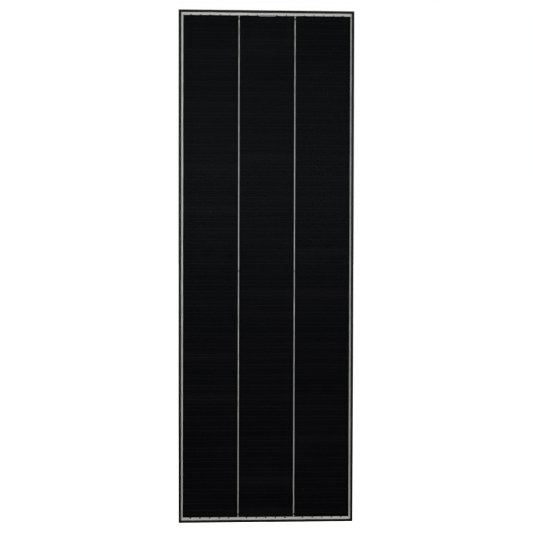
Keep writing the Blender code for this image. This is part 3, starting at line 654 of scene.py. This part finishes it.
class JunctionBox:
    """The junction box: where its outline, rims and hinge lie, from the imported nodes, and its pieces."""

    def __init__(self):
        seal_low, seal_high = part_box("junction_box_seal")
        base_low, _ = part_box("junction_box_base")
        _, lid_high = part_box("junction_box_lid")
        self.left, self.right = seal_low.x - SEAL_INSET, seal_high.x + SEAL_INSET
        self.bottom, self.top = seal_low.z - SEAL_INSET, seal_high.z + SEAL_INSET
        self.floor = base_low.y
        self.rim = seal_low.y - FIT_GAP
        self.lid_inner = seal_high.y + FIT_GAP
        self.lid_outer = lid_high.y
        self.hinge = Vector(frame["joints"][0]["pos_m"])

    def outline(self, front, rear, inset=0.0):
        low = (self.left + inset, front, self.bottom + inset)
        high = (self.right - inset, rear, self.top - inset)
        return slab(low, high, max(BOX_CORNER - inset, MILLI))

    def hoop(self, front, rear, inset, width):
        """A wall that follows the outline, so far inside it."""
        hole = self.outline(front - MILLI, rear + MILLI, inset + width)
        return carved(self.outline(front, rear, inset), ("DIFFERENCE", hole))

    def on_hinge(self, start, end, radius, edge=0.0, segments=40):
        ends = [Vector((x, self.hinge.y, self.hinge.z)) for x in (start, end)]
        return rod(*ends, radius, segments, edge)

    def both(self, shape, start, end):
        """A shape on either side, between two distances from the middle."""
        return [shape(-end, -start), shape(start, end)]

    def window(self):
        """The opening in the floor that the three leads come up through."""
        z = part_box("middle_lead_insulation")[1].z + SLIT_ABOVE_INSULATION
        low = (-WINDOW_SIZE[0] / 2, self.floor - MILLI, z - WINDOW_SIZE[1] / 2)
        high = (WINDOW_SIZE[0] / 2, self.floor + BOX_WALL + MILLI, z + WINDOW_SIZE[1] / 2)
        return slab(low, high, BOX_WALL)

    def shell(self, finish):
        """The moulded base: a tapering pocket, two hinge ears and a hole for each gland."""
        bm = self.outline(self.floor, self.rim)
        round_off(bm, edges_at(bm, 1, self.floor), FLOOR_EDGE, 3)
        pocket = self.rim - self.floor - BOX_WALL
        stepped(bm, face_at(bm, 1, self.rim), (BOX_WALL, 0), (POCKET_TAPER, -pocket))

        def foot(start, end):
            low = (start, self.hinge.y - EAR_FOOT[0], self.top - MILLI)
            return block(low, (end, self.hinge.y - EAR_FOOT[1], self.hinge.z), SOFT_EDGE)

        def eye(start, end):
            return self.on_hinge(start, end, EAR_RADIUS, SOFT_EDGE)

        parts = self.both(foot, *EAR_SPAN) + self.both(eye, *EAR_SPAN)
        steps = [("UNION", part) for part in parts]
        steps += [("DIFFERENCE", self.window())]
        steps += [("DIFFERENCE", self.on_hinge(-PIN_BORE_REACH, PIN_BORE_REACH, PIN_BORE, segments=32))]
        for side in SIDES:
            centre = sum(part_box(f"gland_body_{side}"), Vector()) / 2
            rises = (-MILLI, BOX_WALL + MILLI)
            low, high = (Vector((centre.x, centre.y, self.bottom + rise)) for rise in rises)
            steps.append(("DIFFERENCE", rod(low, high, GLAND_HOLE)))
        piece("junction_box_shell", carved(bm, *steps), finish, "panel", "box_plastic", "junction_box_base")

    def lid(self, finish):
        """The cover: a groove round its field, a locating rib inside, knuckles and a tongue."""
        bm = self.outline(self.lid_inner, self.lid_outer)
        round_off(bm, edges_at(bm, 1, self.lid_outer), COVER_EDGE, 3)
        groove = self.hoop(self.lid_outer - GROOVE_DEPTH, self.lid_outer + MILLI, GROOVE_INSET, GROOVE_WIDTH)
        rib_foot = self.lid_inner + RIB_ROOT
        rib = self.hoop(self.lid_inner - LID_RIB, rib_foot, BOX_WALL + FIT_GAP, LID_RIB_WIDTH)

        def web(start, end):
            low = (start, self.lid_inner, self.top - BOX_WALL)
            return block(low, (end, self.lid_inner + WEB_THICKNESS, self.hinge.z), WEB_EDGE)

        def knuckle(start, end):
            return self.on_hinge(start, end, KNUCKLE_RADIUS, SOFT_EDGE)

        low = self.bottom - TONGUE_DROP
        neck_high = (TONGUE_HALF_WIDTH, self.lid_outer, self.bottom + NECK_OVERLAP)
        neck = block((-TONGUE_HALF_WIDTH, self.lid_inner, low), neck_high, SOFT_EDGE)
        tongue_low = (-TONGUE_HALF_WIDTH, self.lid_inner - TONGUE_REACH, low)
        tongue_high = (TONGUE_HALF_WIDTH, self.lid_inner + MILLI, self.bottom - FIT_GAP)
        tongue = block(tongue_low, tongue_high, SOFT_EDGE)
        parts = self.both(web, *KNUCKLE_SPAN) + self.both(knuckle, *KNUCKLE_SPAN) + [rib, neck, tongue]
        steps = [("DIFFERENCE", groove)] + [("UNION", part) for part in parts]
        steps += [("DIFFERENCE", self.on_hinge(-PIN_BORE_REACH, PIN_BORE_REACH, PIN_BORE, segments=32))]
        piece("junction_box_cover", carved(bm, *steps), finish, "lid", "lid_plastic", "junction_box_lid")

    def hinge_rod(self, finish):
        low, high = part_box("hinge_pin")
        pin = self.on_hinge(low.x, high.x, (high.z - low.z) / 2, SOFT_EDGE)
        piece("hinge_rod", pin, finish, "panel", "hinge_pin", "hinge_pin")

    def gland(self, side, plastic, rubber):
        """The threaded stub, the rubber ring on its end and the cap: a hexagon that runs into a dome."""
        body, seal, nut = (f"gland_{part}_{side}" for part in ("body", "seal", "nut"))
        body_low, body_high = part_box(body)
        ring_low, ring_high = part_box(seal)
        cap_low, cap_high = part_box(nut)
        middle = (body_low + body_high) / 2
        centre = Vector((middle.x, middle.y, 0))
        collar_top, collar_foot = self.bottom - FIT_GAP, cap_high.z + FIT_GAP
        collar = (body_high.x - body_low.x) / 2
        stub = [
            (GLAND_THREAD, body_high.z),
            (GLAND_THREAD, collar_top),
            (collar - SOFT_EDGE, collar_top),
            (collar, collar_top - SOFT_EDGE),
            (collar, collar_foot + SOFT_EDGE),
            (collar - SOFT_EDGE, collar_foot),
            (GLAND_THREAD, collar_foot),
            (GLAND_THREAD, body_low.z),
            (GLAND_BORE, body_low.z),
            (GLAND_BORE, body_high.z),
        ]
        piece(f"gland_stub_{side}", turned(stub, centre), plastic, "panel", "box_plastic", body)

        ring_radius = (ring_high.x - ring_low.x) / 2
        bulge = (ring_high.z + ring_low.z) / 2
        ring = [
            (ring_radius, ring_high.z),
            (ring_radius, ring_low.z),
            (GLAND_BORE, ring_low.z),
            (GLAND_BORE - RING_BULGE, bulge),
            (GLAND_BORE, ring_high.z),
        ]
        piece(f"gland_ring_{side}", turned(ring, centre), rubber, "panel", "rubber", seal)

        radius = (cap_high.x - cap_low.x) / 2
        above, below = cap_high.z + MILLI, cap_low.z - MILLI
        waist = cap_high.z - CAP_HEXAGON * (cap_high.z - cap_low.z)
        envelope = [(0, above), (radius + MILLI, above), (radius + MILLI, waist)]
        for turn in range(0, 91, 10):
            angle = math.radians(turn)
            wide, down = DOME_TIP + DOME_FLARE * math.cos(angle), math.sin(angle)
            envelope.append((radius * wide, waist - (waist - cap_low.z) * down))
        envelope.append((0, cap_low.z))

        def upright(low, high, reach, segments=40, edge=0.0):
            ends = [Vector((middle.x, middle.y, z)) for z in (low, high)]
            return rod(*ends, reach, segments, edge)

        hexagon = upright(below, cap_high.z, radius, 6, CAP_EDGE)
        steps = (
            ("INTERSECT", turned(envelope, centre, hollow=False)),
            ("DIFFERENCE", upright(ring_low.z - FIT_GAP, above, GLAND_HOLE)),
            ("DIFFERENCE", upright(below, above, GLAND_BORE)),
        )
        piece(f"gland_cap_{side}", carved(hexagon, *steps), plastic, "panel", "box_plastic", nut)

    def diode(self, side):
        """An axial diode lying between two terminals."""
        low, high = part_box(f"bypass_diode_{side}")
        centre = (low + high) / 2
        radius, half = (high.z - low.z) / 2, (high.x - low.x) / 2
        profile = [
            (0, half),
            (DIODE_WIRE, half),
            (DIODE_WIRE, DIODE_HALF),
            (radius - DIODE_EDGE, DIODE_HALF),
            (radius - 0.3 * DIODE_EDGE, DIODE_HALF - 0.3 * DIODE_EDGE),
            (radius, DIODE_HALF - DIODE_EDGE),
        ]
        profile += [(r, -h) for r, h in reversed(profile)]
        finish = diode_finish(centre, DIODE_HALF)
        body = turned(profile, centre, hollow=False, lying=True)
        piece(f"diode_{side}", body, finish, "panel", "diode", f"bypass_diode_{side}")


# --- Sealant and plate --------------------------------------------------------------------------


def rear_fillet(finish):
    """The hand-run bead in the corner between the back sheet and the frame, a little uneven."""
    _, (_, sheet_rear, _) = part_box("backsheet")
    left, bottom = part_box("frame_rail_left")[0].x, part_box("frame_rail_bottom")[0].z
    # The bead's outline in millimetres: inward from the outside of the frame, and behind the sheet.
    section = [(8.2, 0.02), (12.8, 0.02), (11.9, 0.35), (11.3, 1.0)]
    section += [(10.95, 2.2), (10.63, 2.6), (10.63, 1.05), (8.2, 1.05)]
    bm = bmesh.new()
    loops = []
    for x_side, z_side in ((1, 1), (-1, 1), (-1, -1), (1, -1)):
        corners = []
        for inward, behind in section:
            x, z = x_side * (left + inward * MILLI), z_side * (bottom + inward * MILLI)
            corners.append(bm.verts.new((x, sheet_rear + behind * MILLI, z)))
        loops.append([bm.edges.new(pair) for pair in zip(corners, corners[1:] + corners[:1])])
    for first, second in zip(loops, loops[1:] + loops[:1]):
        bmesh.ops.bridge_loops(bm, edges=first + second)
    bmesh.ops.recalc_face_normals(bm, faces=bm.faces)
    for axis, cuts in ((0, 90), (2, 260)):
        bmesh.ops.subdivide_edges(bm, edges=edges_along(bm, axis), cuts=cuts, use_grid_fill=True)
    inner_x, inner_z = abs(left) - BEAD_FREE_FACE, abs(bottom) - BEAD_FREE_FACE
    for vertex in bm.verts:
        if abs(vertex.co.x) < inner_x and abs(vertex.co.z) < inner_z:
            wander = 0.3 * noise.noise(vertex.co * 60) + 0.12 * noise.noise(vertex.co * 260)
            beside = abs(vertex.co.x) > inner_x - BEAD_REACH
            axis = 0 if beside else 2
            vertex.co[axis] -= math.copysign(wander * MILLI, vertex.co[axis])
    piece("rear_sealant_bead", bm, finish, "panel", "sealant")


def rating_film(finish):
    low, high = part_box("rating_plate")
    piece("rating_film", slab(low, high, 2.5 * MILLI), finish, "panel", "rating_plate", "rating_plate")


# --- Studio -------------------------------------------------------------------------------------


def light_and_stage():
    """A white floor well below the panel, soft lights round it and a plain white surround."""
    bm = bmesh.new()
    bmesh.ops.create_circle(bm, cap_ends=True, segments=96, radius=FLOOR_RADIUS)
    bmesh.ops.translate(bm, verts=bm.verts, vec=(0, 0, FLOOR_HEIGHT))
    floor = loose_object("studio_floor", bm)
    finish, recipe = new_finish("pale_floor")
    shade = recipe.noise(recipe.place(), 0.6, 2.0)
    colour = recipe.blend(shade, (0.80, 0.80, 0.80), (0.84, 0.84, 0.84))
    recipe.surface(base_color=colour, roughness=0.9, emission_color=(1.0, 1.0, 1.0), emission_strength=1.0)
    floor.data.materials.append(finish)
    floor.visible_glossy = False
    floor.visible_diffuse = False

    world = bpy.data.worlds.new("studio")
    world.use_nodes = True
    bpy.context.scene.world = world
    recipe = Recipe(world.node_tree)
    path = recipe.node("ShaderNodeLightPath")
    kinds = ("Is Camera Ray", "Is Glossy Ray")
    seen, mirrored = (Signal(recipe, path.socket.node.outputs[kind]) for kind in kinds)
    up = recipe.split(recipe.node("ShaderNodeTexCoord", output="Generated"))[2]
    room = recipe.ramp(up * 0.5 + 0.5, ROOM)
    strength = recipe.maths("MAXIMUM", seen, SURROUND * (1 - mirrored) + room * mirrored)
    sky = recipe.node("ShaderNodeBackground", None, {"Color": (1, 1, 1, 1), "Strength": strength})
    recipe.node("ShaderNodeOutputWorld", None, {"Surface": sky})

    softbox("left_softbox", (-1.0, -3.2, 0.2), (0, 0, 1.0), 0.9, 52)
    softbox("right_softbox", (1.35, -3.2, 0.1), (0, 0, 1.0), 0.9, 40)
    softbox("corner_spot", (1.3, -3.2, 0.5), (-0.5, 0, 0.85), 0.5, 1.1, spread=30)
    softbox("side_softbox_left", (-2.8, 0.5, 0.5), (0, 0, 0), 1.6, 45)
    softbox("side_softbox_right", (2.8, 0.5, 0.5), (0, 0, 0), 1.6, 45)
    softbox("rear_softbox_left", (-2.2, 2.8, 1.8), (0, 0, 0), 1.8, 50)
    softbox("rear_softbox_right", (2.2, 2.8, 1.6), (0, 0, 0), 1.8, 60)


def softbox(name, spot, aim, size, power, spread=180):
    lamp = bpy.data.lights.new(name, "AREA")
    lamp.shape = "SQUARE"
    lamp.size = size
    lamp.energy = power
    lamp.spread = math.radians(spread)
    made = bpy.data.objects.new(name, lamp)
    made.location = spot
    made.rotation_euler = (Vector(aim) - Vector(spot)).to_track_quat("-Z", "Y").to_euler()
    bpy.context.scene.collection.objects.link(made)


def add_camera():
    lens = bpy.data.cameras.new("camera")
    lens.lens = CAMERA_LENS
    made = bpy.data.objects.new("camera", lens)
    made.location = CAMERA_PLACE
    made.rotation_euler = [math.radians(turn) for turn in CAMERA_TURN]
    bpy.context.scene.collection.objects.link(made)
    bpy.context.scene.camera = made
    bpy.context.scene.view_settings.view_transform = "Standard"


# --- The panel ----------------------------------------------------------------------------------

add_camera()
light_and_stage()

shingle_strings(silicon_finish())
back_sheet(plain_finish("white_sheet", (0.68, 0.67, 0.65), (0.75, 0.74, 0.72), 0.5, 700.0, 0.02 * MILLI))

dress(glass_finish(), "front_glass", shadow=False)
dress(film_finish(), "front_encapsulant", "rear_encapsulant", shadow=False)
dress(anodised_finish("anodised_upright", 2), "frame_rail_left", "frame_rail_right")
dress(anodised_finish("anodised_crosswise", 0), "frame_rail_top", "frame_rail_bottom")
dress(serial_finish(), "serial_label")
rating_film(rating_finish())

# The end tabs are drawn near black.
tab = plain_finish(
    "near_black_tab", (0.008, 0.008, 0.009), (0.016, 0.016, 0.017), 0.45, 3000, 0.01 * MILLI, metallic=0.4
)
dress(tab, *(f"end_tabs_{column}_{end}" for column in COLUMNS for end in ENDS))
ribbon = plain_finish(
    "dull_ribbon", (0.06, 0.06, 0.06), (0.12, 0.12, 0.115), 0.4, 2500, 0.02 * MILLI, metallic=0.6
)
dress(ribbon, "top_bus_ribbon", "bottom_bus_ribbon", "mid_tap_ribbon")
tinned = plain_finish(
    "tinned_lead", (0.52, 0.52, 0.50), (0.68, 0.68, 0.65), 0.34, 2500, 0.02 * MILLI, metallic=0.95
)
dress(tinned, *(f"{end}_lead_ribbon" for end in LEADS))
film = plain_finish("insulation_film", (0.70, 0.70, 0.67), (0.80, 0.80, 0.77), 0.5, 900, 0.02 * MILLI)
dress(film, "middle_lead_insulation", "bottom_lead_insulation")
plate = plain_finish(
    "tinned_copper", (0.55, 0.47, 0.36), (0.70, 0.64, 0.54), 0.36, 1800, 0.03 * MILLI, metallic=1.0
)
dress(plate, *(f"{end}_terminal" for end in LEADS))
key = plain_finish(
    "bare_aluminium", (0.60, 0.61, 0.62), (0.76, 0.77, 0.78), 0.4, 1500, 0.03 * MILLI, metallic=1.0
)
dress(key, *(f"corner_key_{end}_{side}" for end in ENDS for side in SIDES))
glue = plain_finish("white_adhesive", (0.52, 0.52, 0.50), (0.62, 0.62, 0.60), 0.6, 1200, 0.05 * MILLI)
dress(glue, "junction_box_pad")
bead = plain_finish("grey_sealant", (0.070, 0.070, 0.070), (0.110, 0.110, 0.108), 0.42, 350, 0.15 * MILLI)
dress(bead, "edge_sealant")
rear_fillet(bead)

plastic = plain_finish("box_plastic", (0.016, 0.016, 0.017), (0.026, 0.026, 0.027), 0.48, 2600, 0.06 * MILLI)
cover = plain_finish("lid_plastic", (0.019, 0.019, 0.020), (0.030, 0.030, 0.031), 0.44, 2200, 0.06 * MILLI)
rubber = plain_finish("black_rubber", (0.010, 0.010, 0.010), (0.018, 0.018, 0.018), 0.75, 3000, 0.03 * MILLI)
steel = plain_finish(
    "pin_steel", (0.50, 0.50, 0.51), (0.64, 0.64, 0.65), 0.3, 3000, 0.01 * MILLI, metallic=1.0
)
box = JunctionBox()
box.shell(plastic)
box.lid(cover)
box.hinge_rod(steel)
dress(rubber, "junction_box_seal")
for side in SIDES:
    box.gland(side, plastic, rubber)
    box.diode(side)
